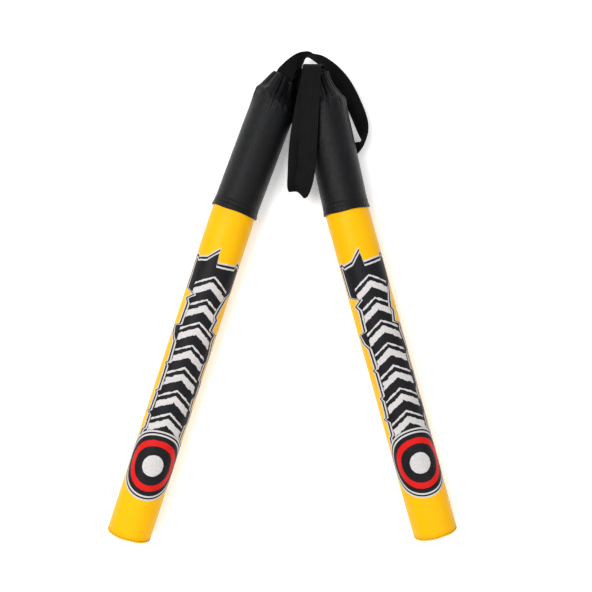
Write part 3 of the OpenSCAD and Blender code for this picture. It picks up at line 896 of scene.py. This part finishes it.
# ---- core, tip pad and strap fixing ----
# A rigid plastic tube with plugs in both ends, a foam pad below it, and the folded tail of the
# strap held on the upper plug by a washer and a screw. The cord of the gather runs in its edge.
core_plastic, co, core_shader = material("white rigid plastic", Specular_IOR_Level=0.5)
co_tone = use(co, tone, Size=50.0, Low=0.88, High=1.0)
co.links.new(blend_colour(co, 1.0, (0.78, 0.77, 0.74, 1), co_tone.outputs["Value"], "MULTIPLY"),
             core_shader.inputs["Base Color"])
co.links.new(between(co, co_tone.outputs["Mask"], 0.0, 1.0, 0.35, 0.5),
             core_shader.inputs["Roughness"])

zinc_steel, zi, zinc_shader = material("zinc-plated steel", Metallic=1.0)
zi_brush = add(zi, "TexNoise", add(zi, "TexCoord", out=3), None, 1800.0, 2.0)
zi.links.new(blend_colour(zi, zi_brush, (0.45, 0.46, 0.48, 1), (0.66, 0.66, 0.67, 1)),
             zinc_shader.inputs["Base Color"])
zi.links.new(between(zi, zi_brush, 0.2, 0.8, 0.22, 0.42), zinc_shader.inputs["Roughness"])

tail_cloth, ta, tail_shader = material("black webbing tail", Roughness=0.8, Sheen_Weight=0.2)
ta_wave = add(ta, "TexWave", add(ta, "TexCoord", out=3), 420.0, 0.6, bands_direction="X")
# painted shade and highlight: the tail is coloured lighter on its raised ribs and darker in the grooves
# between them
ta.links.new(blend_colour(ta, ta_wave, (0.009, 0.009, 0.010, 1), (0.040, 0.040, 0.043, 1)),
             tail_shader.inputs["Base Color"])
ta.links.new(add(ta, "Bump", 0.6, 0.00015, None, ta_wave), tail_shader.inputs["Normal"])

# what each hidden part of the frame is finished in
INNER = {"body_foam": foam_cells, "body_seam": yellow_fabric, "tip_foam": foam_cells,
         "core_tube": core_plastic, "core_lower_cap": core_plastic,
         "core_upper_cap": core_plastic, "strap_tail": tail_cloth, "strap_washer": zinc_steel,
         "strap_screw": zinc_steel, "gather_tie": thread_yarn}
for stick in STICKS:
    for node, finish in INNER.items():
        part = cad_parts[f"{stick.side}_{node}"]
        for slot in part.material_slots:
            slot.material = finish


# ---- floor and light ----
# Plain pale floor, one large soft light from the upper left and weaker ones to fill the shadows.
floor_paint, fl, floor_shader = material(
    "pale floor", Roughness=0.75, Specular_IOR_Level=0.2, Emission_Color=(1, 1, 1, 1),
    Emission_Strength=0.22)
fl_tone = use(fl, tone, Size=3.0, Low=0.985, High=1.0)
fl.links.new(blend_colour(fl, 1.0, (0.94, 0.94, 0.94, 1), fl_tone.outputs["Value"], "MULTIPLY"),
             floor_shader.inputs["Base Color"])
FLOOR_REACH = 4.0
floor = new_piece("floor", [(x * FLOOR_REACH, y * FLOOR_REACH, 0) for x, y in
                            ((-1, -1), (1, -1), (1, 1), (-1, 1))], [(0, 1, 2, 3)], floor_paint)


def soft_light(name, place, size, power):
    """A large square light that points at the middle of the pair."""
    lamp = bpy.data.lights.new(name, "AREA")
    lamp.size = size
    lamp.energy = power
    made = bpy.data.objects.new(name, lamp)
    made.location = place
    made.rotation_euler = (Vector((0, 0, 0.02)) - Vector(place)).to_track_quat("-Z", "Y").to_euler()
    bpy.context.collection.objects.link(made)


soft_light("key", (-0.8, 0.35, 1.6), 1.2, 31)
soft_light("fill", (1.2, -0.3, 1.8), 1.6, 12)
soft_light("foot", (0.1, -1.5, 1.5), 1.6, 10)
world = bpy.data.worlds.new("studio")
world.use_nodes = True
world.node_tree.nodes["Background"].inputs["Color"].default_value = (1, 1, 1, 1)
world.node_tree.nodes["Background"].inputs["Strength"].default_value = 0.50
bpy.context.scene.world = world
